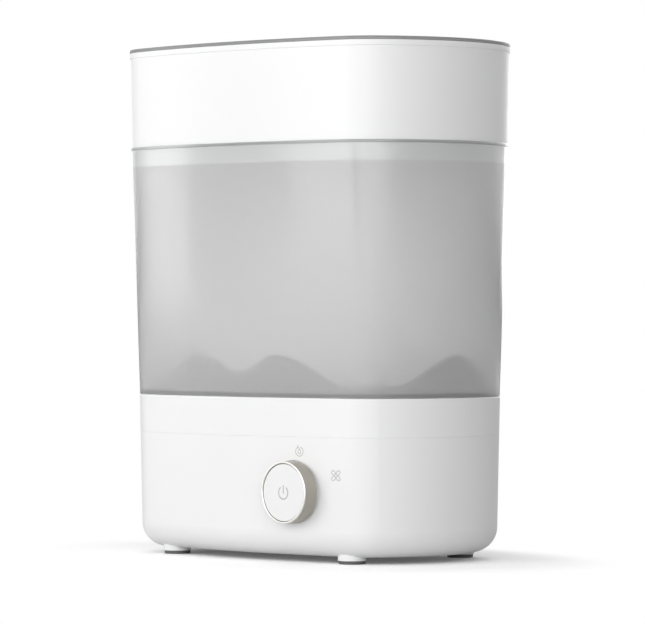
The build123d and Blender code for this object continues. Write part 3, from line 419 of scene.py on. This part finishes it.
def front_wall(x, level):
    """Y of the base's front wall at a place on it."""
    radius = front_radius - between(level, base_bottom, base_inset_bottom, base_top, base_inset_top)
    return front_centre - math.sqrt(radius**2 - x**2)


def spun(mesh, start, centre, sweep, steps, axis=(0, 0, 1)):
    """Turn a vertex or edge about a centre and return what ends the turn."""
    return bmesh.ops.spin(mesh, geom=start, cent=centre, axis=axis, angle=sweep, steps=steps)["geom_last"]


def stroke_arc(mesh, centre, radius, start, sweep, width):
    """Draw a flat arc of ink in the XZ plane, angles from +X towards +Z."""
    ends = [
        mesh.verts.new((centre[0] + reach * math.cos(start), 0, centre[1] + reach * math.sin(start)))
        for reach in (radius - width / 2, radius + width / 2)
    ]
    edge = mesh.edges.new(ends)
    spun(mesh, [*ends, edge], (centre[0], 0, centre[1]), sweep, max(6, round(abs(sweep) * 12)), (0, -1, 0))


def stroke_line(mesh, start, end, width):
    """Draw a flat straight stroke of ink in the XZ plane."""
    run = Vector((end[0] - start[0], 0, end[1] - start[1]))
    side = run.cross(Vector((0, 1, 0))).normalized() * width / 2
    low = Vector((start[0], 0, start[1]))
    corners = [mesh.verts.new(p) for p in (low - side, low + side, low + run + side, low + run - side)]
    mesh.faces.new(corners)


weld_distance = 1e-7
sharp_angle = math.radians(35)


def new_piece(name, mesh, body, slot, finish, *stands_for):
    """Make a bmesh a smooth piece that rides on a body, in place of the CAD nodes named."""
    bmesh.ops.remove_doubles(mesh, verts=mesh.verts, dist=weld_distance)
    bmesh.ops.recalc_face_normals(mesh, faces=mesh.faces)
    data = bpy.data.meshes.new(name)
    mesh.to_mesh(data)
    mesh.free()
    data.polygons.foreach_set("use_smooth", [True] * len(data.polygons))
    data.set_sharp_from_angle(angle=sharp_angle)
    data.materials.append(finish.material)
    piece = bpy.data.objects.new(name, data)
    bpy.context.scene.collection.objects.link(piece)
    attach(piece, body)
    if stands_for:
        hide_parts(*stands_for)
    return piece


def ink_finish():
    finish = Finish("ink_grey", ior=1.45)
    cloud = finish.noise(900.0)
    return finish.wear(base_color=finish.blend(cloud, (0.44, 0.44, 0.445, 1), (0.50, 0.50, 0.505, 1)),
                       roughness=cloud * 0.1 + 0.4)


ink = ink_finish()
ink_thickness = 0.00005
ink_sunk = 0.00003


def printed(name, mesh, place, surface, body):
    """Lay flat strokes on a surface that gives Y at (x, z), and give them the ink's thickness."""
    bmesh.ops.remove_doubles(mesh, verts=mesh.verts, dist=weld_distance)
    bmesh.ops.translate(mesh, verts=mesh.verts, vec=(place[0], 0, place[1]))
    thick = bmesh.ops.extrude_face_region(mesh, geom=mesh.faces[:])["geom"]
    front = [v for v in thick if isinstance(v, bmesh.types.BMVert)]
    for vertex in mesh.verts:
        vertex.co.y = surface(vertex.co.x, vertex.co.z) + ink_sunk
    bmesh.ops.translate(mesh, verts=front, vec=(0, -ink_thickness - ink_sunk, 0))
    new_piece(name, mesh, body, "rack_grey", ink)


symbol_stroke = 0.00045

# Four-bladed fan
fan_symbol_place = (0.0912, 0.0612)
blade_width = 0.0024
blade_start = 0.0009
blade_length = 0.0043
mesh = bmesh.new()
for quarter in range(4):
    turn = math.radians(45 + 90 * quarter)
    out = Vector((math.cos(turn), math.sin(turn)))
    side = Vector((-out.y, out.x)) * blade_width / 2
    inner = out * (blade_start + blade_width / 2)
    outer = out * (blade_length - blade_width / 2)
    stroke_arc(mesh, outer, blade_width / 2, turn - math.pi / 2, math.pi, symbol_stroke)
    stroke_arc(mesh, inner, blade_width / 2, turn + math.pi / 2, math.pi, symbol_stroke)
    for s in (-1, 1):
        stroke_line(mesh, inner + s * side, outer + s * side, symbol_stroke)
printed("fan_symbol", mesh, fan_symbol_place, front_wall, "base")

# Full cycle: an open ring with an arrowhead round a drop
cycle_symbol_place = (0.0612, 0.0770)
cycle_radius = 0.0032
drop_radius = 0.0012
drop_tip = 0.0021
drop_fall = 0.0004
arrow_tip = -0.0008
arrow_size = 0.0010
mesh = bmesh.new()
stroke_arc(mesh, (0, 0), cycle_radius, math.radians(105), math.radians(330), symbol_stroke)
stroke_arc(mesh, (0, -drop_fall), drop_radius, math.radians(150), math.radians(240), symbol_stroke)
for s in (-1, 1):
    edge = (s * drop_radius * math.cos(math.radians(30)), drop_radius / 2 - drop_fall)
    stroke_line(mesh, edge, (0, drop_tip), symbol_stroke)
    stroke_line(mesh, (arrow_tip, cycle_radius), (arrow_tip - arrow_size, cycle_radius + s * arrow_size), symbol_stroke)
printed("cycle_symbol", mesh, cycle_symbol_place, front_wall, "base")


# Knob
# A thin barrel of satin champagne metal round a white push button with a printed power sign. A black core inside
# carries both, held through the housing by a steel clip, and a coil spring that shortens returns the button.
knob_low, knob_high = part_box("knob_ring")
knob_centre = ((knob_low.x + knob_high.x) / 2, (knob_low.z + knob_high.z) / 2)
knob_radius = (knob_high.x - knob_low.x) / 2
knob_wall = 0.00125
rim_round = 0.00045
back_chamfer = 0.0002
barrel_steps = 96
# The barrel's front edge is painted near white as a painted highlight, fading out between these depths behind the face.
highlight_to, highlight_from = 0.0006, 0.0009


def revolved(mesh, profile):
    """Turn a closed profile of (radius, y) points about the knob's axis."""
    points = [mesh.verts.new((knob_centre[0] + radius, y, knob_centre[1])) for radius, y in profile]
    edges = [mesh.edges.new(pair) for pair in zip(points, points[1:] + points[:1])]
    bmesh.ops.spin(mesh, geom=points + edges, cent=(knob_centre[0], 0, knob_centre[1]), axis=(0, 1, 0),
                   angle=2 * math.pi, steps=barrel_steps, use_merge=True)


def champagne():
    finish = Finish("knob_metal", metallic=1.0)
    lines = finish.noise(900.0, stretch=(0.03, 1, 0.03))
    cloud = finish.noise(30.0)
    barrel_colour = finish.blend(cloud, (0.38, 0.36, 0.315, 1), (0.42, 0.40, 0.355, 1))
    # Painted highlight: the front edge's colour is painted near white, standing in for the key light's reflection on
    # it.
    painted_highlight_edge = finish.ramp(finish.coordinate("Y"), knob_low.y + highlight_from, knob_low.y + highlight_to)
    return finish.wear(base_color=finish.blend(painted_highlight_edge, barrel_colour, (0.90, 0.885, 0.84, 1)),
                       roughness=lines * 0.12 + 0.26, normal=finish.bump(lines, 0.000004))


metal = champagne()
face, back = knob_low.y, knob_high.y
bore = knob_radius - knob_wall
mesh = bmesh.new()
quarter_round = [(1 - math.cos(a), 1 - math.sin(a)) for a in (math.radians(15 * i) for i in range(7))]
outer_round = [(knob_radius - rim_round * u, face + rim_round * v) for u, v in quarter_round]
inner_round = [(bore + rim_round * u, face + rim_round * v) for u, v in reversed(quarter_round)]
revolved(mesh, [(knob_radius, back - back_chamfer), *outer_round, *inner_round, (bore, back),
                (knob_radius - back_chamfer, back)])
new_piece("knob_barrel", mesh, "knob", "knob_metal", metal, "knob_ring")

button_white = white_plastic("button_white", (0.88, 0.88, 0.88, 1))
dress(button_white, "power_button")
dress(fan_black, "knob_core")
dress(spring_bright, "knob_retainer")

spring_low, spring_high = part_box("button_spring")
spring_wire, spring_turns, spring_steps = 0.0004, 3, 108
coil_radius = (spring_high.x - spring_low.x) / 2 - spring_wire
spring_rise = (spring_high.y - spring_low.y - 2 * spring_wire) / spring_steps
mesh = bmesh.new()
bmesh.ops.create_circle(
    mesh, cap_ends=True, segments=10, radius=spring_wire,
    matrix=Matrix.Translation((knob_centre[0] + coil_radius, spring_low.y + spring_wire, knob_centre[1])))
bmesh.ops.spin(mesh, geom=mesh.verts[:] + mesh.edges[:] + mesh.faces[:], cent=(knob_centre[0], 0, knob_centre[1]),
               axis=(0, 1, 0), dvec=(0, spring_rise, 0), angle=2 * math.pi * spring_turns, steps=spring_steps)
spring = new_piece("return_spring", mesh, "knob", "spring_steel", spring_bright, "button_spring")
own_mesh(spring)

button_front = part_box("power_button")[0].y


def button_face(x, z):
    return button_front


power_radius = 0.0044
power_stroke = 0.0009
power_bar = (-0.0006, 0.0052)
mesh = bmesh.new()
stroke_arc(mesh, (0, 0), power_radius, math.radians(125), math.radians(290), power_stroke)
stroke_line(mesh, (0, power_bar[0]), (0, power_bar[1]), power_stroke)
printed("power_symbol", mesh, knob_centre, button_face, "button")


# Large basket
# A tall frosted wall, moulded with a slotted floor and a skirt that drops inside the base's collar.
front_steps = 40
corner_steps = 12
side_steps = 28
slot_end_steps = 8
level_margin = 1e-6


def outline(mesh, level, inset, detail=1):
    """Draw the plan outline at a level, moved in by inset, and return its loop of edges."""
    older = set(mesh.edges)
    radius = front_radius - inset
    first = mesh.verts.new((radius * math.sin(front_half_angle),
                            radius * math.cos(front_half_angle) - front_centre, level))
    last = first
    for s in (1, -1):
        for x, y, sweep, steps in (
            (0, -s * front_centre, 2 * front_half_angle, front_steps),
            (-s * corner_x, s * corner_y, corner_angle, corner_steps),
            (-s * side_centre, 0, 2 * side_half_angle, side_steps),
            (-s * corner_x, -s * corner_y, corner_angle, corner_steps),
        ):
            last = spun(mesh, [last], (x, y, level), sweep, steps * detail)[0]
    bmesh.ops.weld_verts(mesh, targetmap={last: first})
    return [edge for edge in mesh.edges if edge not in older]


def round_edges(mesh, edges, radius, segments=4):
    return bmesh.ops.bevel(mesh, geom=edges, offset=radius, offset_type="OFFSET", segments=segments, profile=0.5,
                           affect="EDGES", material=-1)


ring_spacing = 0.05  # while they are bridged, rings stand this far apart


def walls(mesh, section, detail=1):
    """Carry the plan outline along a section of (inset, level, rounding) points, and return its rings.

    A level is a height, or a function that gives the height at (x, y).
    """
    rings = [outline(mesh, step * ring_spacing, point[0], detail) for step, point in enumerate(section)]
    for one, other in zip(rings, rings[1:]):
        bmesh.ops.bridge_loops(mesh, edges=one + other)
    for ring, (_, level, _) in zip(rings, section):
        for vertex in {vertex for edge in ring for vertex in edge.verts}:
            vertex.co.z = level(vertex.co.x, vertex.co.y) if callable(level) else level
    for ring, (_, _, rounding) in zip(rings, section):
        if rounding:
            round_edges(mesh, ring, rounding)
    return rings


def slot_loop(mesh, x, y, level, length, width):
    """Draw a round-ended slot along X and return its loop of edges."""
    older = set(mesh.edges)
    reach = length / 2 - width / 2
    first = mesh.verts.new((x + reach, y - width / 2, level))
    turned = spun(mesh, [first], (x + reach, y, level), math.pi, slot_end_steps)[0]
    run = mesh.verts.new((x - reach, y + width / 2, level))
    mesh.edges.new((turned, run))
    last = spun(mesh, [run], (x - reach, y, level), math.pi, slot_end_steps)[0]
    mesh.edges.new((last, first))
    return [edge for edge in mesh.edges if edge not in older]


def rim_distance(x, y):
    """How far a point stands in from the rim outline."""
    if math.atan2(abs(x), abs(y) + front_centre) < front_half_angle:
        return front_radius - math.hypot(x, abs(y) + front_centre)
    if math.atan2(abs(y), abs(x) - side_centre) < side_half_angle:
        return side_radius - math.hypot(abs(x) - side_centre, y)
    return corner_radius - math.hypot(abs(x) - corner_x, abs(y) - corner_y)


floor_slot = (0.022, 0.004)
slot_pitch = (0.027, 0.009)
slot_margin = 0.003
slot_columns, slot_rows = 8, 11
slot_grid = [((i - (slot_columns - 1) / 2) * slot_pitch[0], (j - (slot_rows - 1) / 2) * slot_pitch[1])
             for i in range(slot_columns) for j in range(slot_rows)]


def kinds(geometry, kind):
    """Elements of one kind, such as BMVert, out of an operator's result."""
    return [element for element in geometry if isinstance(element, kind)]


def pierced(mesh, upper_ring, upper_level, lower_ring, lower_level, size, places):
    """Close two rings with flat faces that share slots of one size."""
    high = slot_loop(mesh, *places[0], upper_level, *size)
    low = slot_loop(mesh, *places[0], lower_level, *size)
    sides = bmesh.ops.bridge_loops(mesh, edges=high + low)
    corners = list({vertex for edge in high + low for vertex in edge.verts})
    tube = corners + high + low + sides["edges"] + sides["faces"]
    for x, y in places[1:]:
        copy = bmesh.ops.duplicate(mesh, geom=tube)["geom"]
        bmesh.ops.translate(mesh, verts=kinds(copy, bmesh.types.BMVert), vec=(x - places[0][0], y - places[0][1], 0))
        for loop, level in ((high, upper_level), (low, lower_level)):
            loop += [edge for edge in kinds(copy, bmesh.types.BMEdge)
                     if all(abs(vertex.co.z - level) < level_margin for vertex in edge.verts)]
    bmesh.ops.triangle_fill(mesh, edges=list(upper_ring) + high, use_beauty=True)
    bmesh.ops.triangle_fill(mesh, edges=list(lower_ring) + low, use_beauty=True)


def slots_inside(inset):
    return [
        (x, y) for x, y in slot_grid
        if rim_distance(abs(x) + floor_slot[0] / 2, abs(y) + floor_slot[1] / 2) > inset + slot_margin
    ]


large_low, large_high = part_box("large_basket")
wall_bottom, lip_top = base_top, large_high.z
wall_inset_bottom, wall_inset_top = 0.0074, 0.0018
lip_inset, lip_height = 0.00095, 0.002
lip_bottom = lip_top - lip_height
basket_wall = 0.0022
floor_bottom_rise, floor_top_rise = 0.0006, 0.0032
floor_bottom, floor_top = base_top + floor_bottom_rise, base_top + floor_top_rise
deck_level = 0.096
collar_wall, nest_gap, skirt_wall = 0.003, 0.00045, 0.002
skirt_inset = between(deck_level, base_bottom, base_inset_bottom, base_top, base_inset_top) + collar_wall + nest_gap


def wall_inset(level):
    return between(level, wall_bottom, wall_inset_bottom, lip_top, wall_inset_top)


nest_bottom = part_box("small_basket")[0].z  # above it the white basket nests inside, the wall is clearer, and its colour is painted lighter: painted light standing in for the white basket showing through
nest_blur, lip_blur = 0.0006, 0.0002


def frosted():
    finish = Finish("frosted_grey", ior=1.49, transmission_weight=0.75, coat_weight=1.0, coat_roughness=0.18)
    cloud = finish.noise(14.0)
    frost_colour = finish.blend(cloud, (0.84, 0.84, 0.84, 1), (0.87, 0.87, 0.87, 1))
    level = finish.coordinate("Z")
    rim = finish.ramp(level, nest_bottom - nest_blur, nest_bottom + nest_blur)
    lip = finish.ramp(level, lip_bottom - lip_blur, lip_bottom + lip_blur)
    # Painted light: above the nest level the wall's colour is painted lighter, standing in for the white basket seen
    # through it.
    painted_nest_light = finish.blend(rim, frost_colour, (0.94, 0.95, 0.945, 1))
    return finish.wear(base_color=finish.blend(lip, painted_nest_light, (0.66, 0.67, 0.665, 1)),
                       roughness=cloud * 0.06 + 0.53 - rim * 0.26)


mesh = bmesh.new()
rings = walls(mesh, [
    (skirt_inset + skirt_wall, floor_bottom, 0),
    (skirt_inset + skirt_wall, large_low.z, 0.0004),
    (skirt_inset, large_low.z, 0.0004),
    (skirt_inset, wall_bottom, 0),
    (wall_inset_bottom, wall_bottom, 0.0003),
    (wall_inset(lip_bottom), lip_bottom, 0),
    (lip_inset, lip_bottom, 0.0003),
    (lip_inset, lip_top, 0.0006),
    (wall_inset_top + basket_wall, lip_top, 0.0006),
    (wall_inset(floor_top) + basket_wall, floor_top, 0),
])
pierced(mesh, rings[-1], floor_top, rings[0], floor_bottom, floor_slot,
        slots_inside(skirt_inset + skirt_wall))
new_piece("frosted_basket", mesh, "large_basket", "frosted_grey", frosted(), "large_basket")


# Bottle rack
# A grey moulding that stands on the large basket's floor: six bottle places, a wavy rim with rounded edges, and
# dividers scooped out between the rim's humps.
def grey_plastic():
    finish = Finish("rack_grey", ior=1.5)
    cloud = finish.noise(12.0)
    return finish.wear(base_color=finish.blend(cloud, (0.12, 0.12, 0.122, 1), (0.14, 0.14, 0.142, 1)),
                       roughness=cloud * 0.1 + 0.4)


rack_gap, rack_wall, rack_plate = 0.0032, 0.002, 0.002
rack_peak, rack_saddle, rack_low, divider_low = 0.027, 0.014, 0.006, 0.009
rack_bottom = floor_top
rack_inset = wall_inset(floor_top) + basket_wall + rack_gap
rack_round = 0.0007
divider_x = 0.0375
divider_steps = 72
divider_gap = 0.0015
cross_scoop, long_scoop = 0.032, 0.026
bottle_hole = (0.0342, 0.034)
bottle_places = [(x, y) for x in (-0.075, 0, 0.075) for y in (-0.034, 0.034)]
front_end, side_end = 0.097, 0.048
front_wave = [(-front_end, rack_low), (-divider_x, rack_peak), (0, rack_saddle), (divider_x, rack_peak),
              (front_end, rack_low)]
side_wave = [(-side_end, rack_low), (0, rack_peak), (side_end, rack_low)]


def wave(stops, place):
    """Height at a place on a smooth wave through its stops, level at each of them."""
    place = min(max(place, stops[0][0]), stops[-1][0])
    for (start, low), (end, high) in zip(stops, stops[1:]):
        if place <= end:
            part = (place - start) / (end - start)
            return low + (high - low) * part * part * (3 - 2 * part)


def rack_rim(x, y):
    return rack_bottom + (wave(front_wave, x) if abs(x) < front_end else wave(side_wave, y))


def divider(mesh, reach, scoop, place, turn):
    """Stand a thin wall on the rack's floor, scooped out between two ends as high as the rim's humps."""
    stops = [(-reach, rack_peak), (-reach + scoop, divider_low), (reach - scoop, divider_low), (reach, rack_peak)]
    sheet = bmesh.ops.create_grid(mesh, x_segments=divider_steps, y_segments=1, size=1.0)["verts"]
    faces = list({face for vertex in sheet for face in vertex.link_faces})
    for vertex in sheet:
        x, top = vertex.co.x * reach, vertex.co.y > 0
        vertex.co = (x, -rack_wall / 2, rack_bottom + (wave(stops, x) if top else rack_plate / 2))
    other = kinds(bmesh.ops.extrude_face_region(mesh, geom=faces)["geom"], bmesh.types.BMVert)
    bmesh.ops.translate(mesh, verts=other, vec=(0, rack_wall, 0))
    both = sheet + other
    crest = {edge for vertex in both for edge in vertex.link_edges
             if edge.calc_length() < scoop and abs(edge.verts[0].co.y - edge.verts[1].co.y) < level_margin
             and min(end.co.z for end in edge.verts) > rack_bottom + divider_low - 0.0001}
    rounded = round_edges(mesh, list(crest), rack_round, segments=3)
    moved = {vertex for vertex in both if vertex.is_valid} | set(rounded["verts"])
    bmesh.ops.rotate(mesh, verts=list(moved), cent=(0, 0, 0), matrix=Matrix.Rotation(turn, 3, "Z"))
    bmesh.ops.translate(mesh, verts=list(moved), vec=(place, 0, 0))


mesh = bmesh.new()
rings = walls(mesh, [
    (rack_inset + rack_wall, rack_bottom + rack_plate, 0),
    (rack_inset + rack_wall, rack_rim, rack_round),
    (rack_inset, rack_rim, rack_round),
    (rack_inset, rack_bottom, 0),
], detail=2)
pierced(mesh, rings[0], rack_bottom + rack_plate, rings[-1], rack_bottom, bottle_hole, bottle_places)
for x in (-divider_x, divider_x):
    divider(mesh, rim_depth / 2 - rack_inset - rack_wall / 2 - divider_gap, cross_scoop, x, math.pi / 2)
divider(mesh, rim_width / 2 - rack_inset - rack_wall / 2, long_scoop, 0, 0)
new_piece("wavy_rack", mesh, "rack", "rack_grey", grey_plastic(), "bottle_rack")


# Small basket
# A deep white band with a lip at the top and a slotted floor that nests inside the large basket's rim.
small_low, small_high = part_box("small_basket")
small_top, small_bottom = small_high.z, small_low.z
small_floor, small_lip_height = 0.0024, 0.0039
small_floor_top = small_bottom + small_floor
small_inset_bottom, small_inset_top = 0.00215, 0.0009
small_lip_bottom = small_top - small_lip_height
nest_inset = basket_wall + nest_gap

basket_white = white_plastic("white_basket", (0.90, 0.90, 0.905, 1))
mesh = bmesh.new()
rings = walls(mesh, [
    (wall_inset(small_bottom) + nest_inset, small_bottom, 0),
    (wall_inset_top + nest_inset, lip_top, 0),
    (small_inset_bottom, lip_top, 0.0003),
    (between(small_lip_bottom, lip_top, small_inset_bottom, small_top, small_inset_top), small_lip_bottom, 0),
    (0, small_lip_bottom, 0.0002),
    (0, small_top, 0.0003),
    (small_inset_top + basket_wall, small_top, 0.0003),
    (wall_inset(small_bottom) + nest_inset + skirt_wall, small_floor_top, 0),
])
pierced(mesh, rings[-1], small_floor_top, rings[0], small_bottom, floor_slot,
        slots_inside(wall_inset(small_bottom) + nest_inset + skirt_wall))
new_piece("white_basket", mesh, "small_basket", "white_basket", basket_white, "small_basket")


# Lid
# A frosted plate with a rounded edge, a ring that centres it in the basket, a grip recess and steam vents.
lid_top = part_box("lid")[1].z
panel_inset, panel_depth = 0.015, 0.0008
panel_top = lid_top - panel_depth
ring_inset = small_inset_top + basket_wall + nest_gap
ring_wall, ring_depth = 0.0018, 0.006
grip_size = (0.096, 0.054)
grip_wall, grip_depth = 0.002, 0.02
vent_size = (0.014, 0.003)
vent_count, vent_spacing, vent_row = 7, 0.020, 0.060
vents = [((i - (vent_count - 1) / 2) * vent_spacing, vent_row) for i in range(vent_count)]

mesh = bmesh.new()
rings = walls(mesh, [
    (ring_inset + ring_wall, small_top, 0),
    (ring_inset + ring_wall, small_top - ring_depth, 0.0004),
    (ring_inset, small_top - ring_depth, 0.0004),
    (ring_inset, small_top, 0),
    (0, small_top, 0.0003),
    (0, lid_top, 0.001),
    (panel_inset, lid_top, 0.0003),
    (panel_inset, panel_top, 0),
])
mouth = slot_loop(mesh, 0, 0, panel_top, *grip_size)
grip_floor = slot_loop(mesh, 0, 0, panel_top - grip_depth, *grip_size)
under_size = tuple(side + 2 * grip_wall for side in grip_size)
under_mouth = slot_loop(mesh, 0, 0, small_top, *under_size)
under_floor = slot_loop(mesh, 0, 0, panel_top - grip_depth - grip_wall, *under_size)
bmesh.ops.bridge_loops(mesh, edges=mouth + grip_floor)
bmesh.ops.bridge_loops(mesh, edges=under_mouth + under_floor)
bmesh.ops.triangle_fill(mesh, edges=grip_floor, use_beauty=True)
bmesh.ops.triangle_fill(mesh, edges=under_floor, use_beauty=True)
pierced(mesh, rings[-1] + mouth, panel_top, rings[0] + under_mouth, small_top, vent_size, vents)


def smoked():
    finish = Finish("frosted_lid", ior=1.49, transmission_weight=0.5)
    cloud = finish.noise(14.0)
    return finish.wear(base_color=finish.blend(cloud, (0.37, 0.37, 0.375, 1), (0.41, 0.41, 0.415, 1)),
                       roughness=cloud * 0.06 + 0.34)


smoke = smoked()
new_piece("frosted_lid", mesh, "lid", "frosted_grey", smoke, "lid")

grip_bar_width, grip_bar_thickness, grip_bar_round = 0.020, 0.005, 0.0012
mesh = bmesh.new()
bmesh.ops.create_cube(mesh, size=1.0)
bmesh.ops.scale(mesh, verts=mesh.verts, vec=(grip_bar_width, grip_size[1] + grip_wall, grip_bar_thickness))
bmesh.ops.translate(mesh, verts=mesh.verts, vec=(0, 0, panel_top - grip_bar_thickness / 2))
lengthwise = [edge for edge in mesh.edges if abs(edge.verts[0].co.y - edge.verts[1].co.y) > grip_bar_width]
round_edges(mesh, lengthwise, grip_bar_round)
new_piece("grip_bar", mesh, "lid", "frosted_grey", smoke)
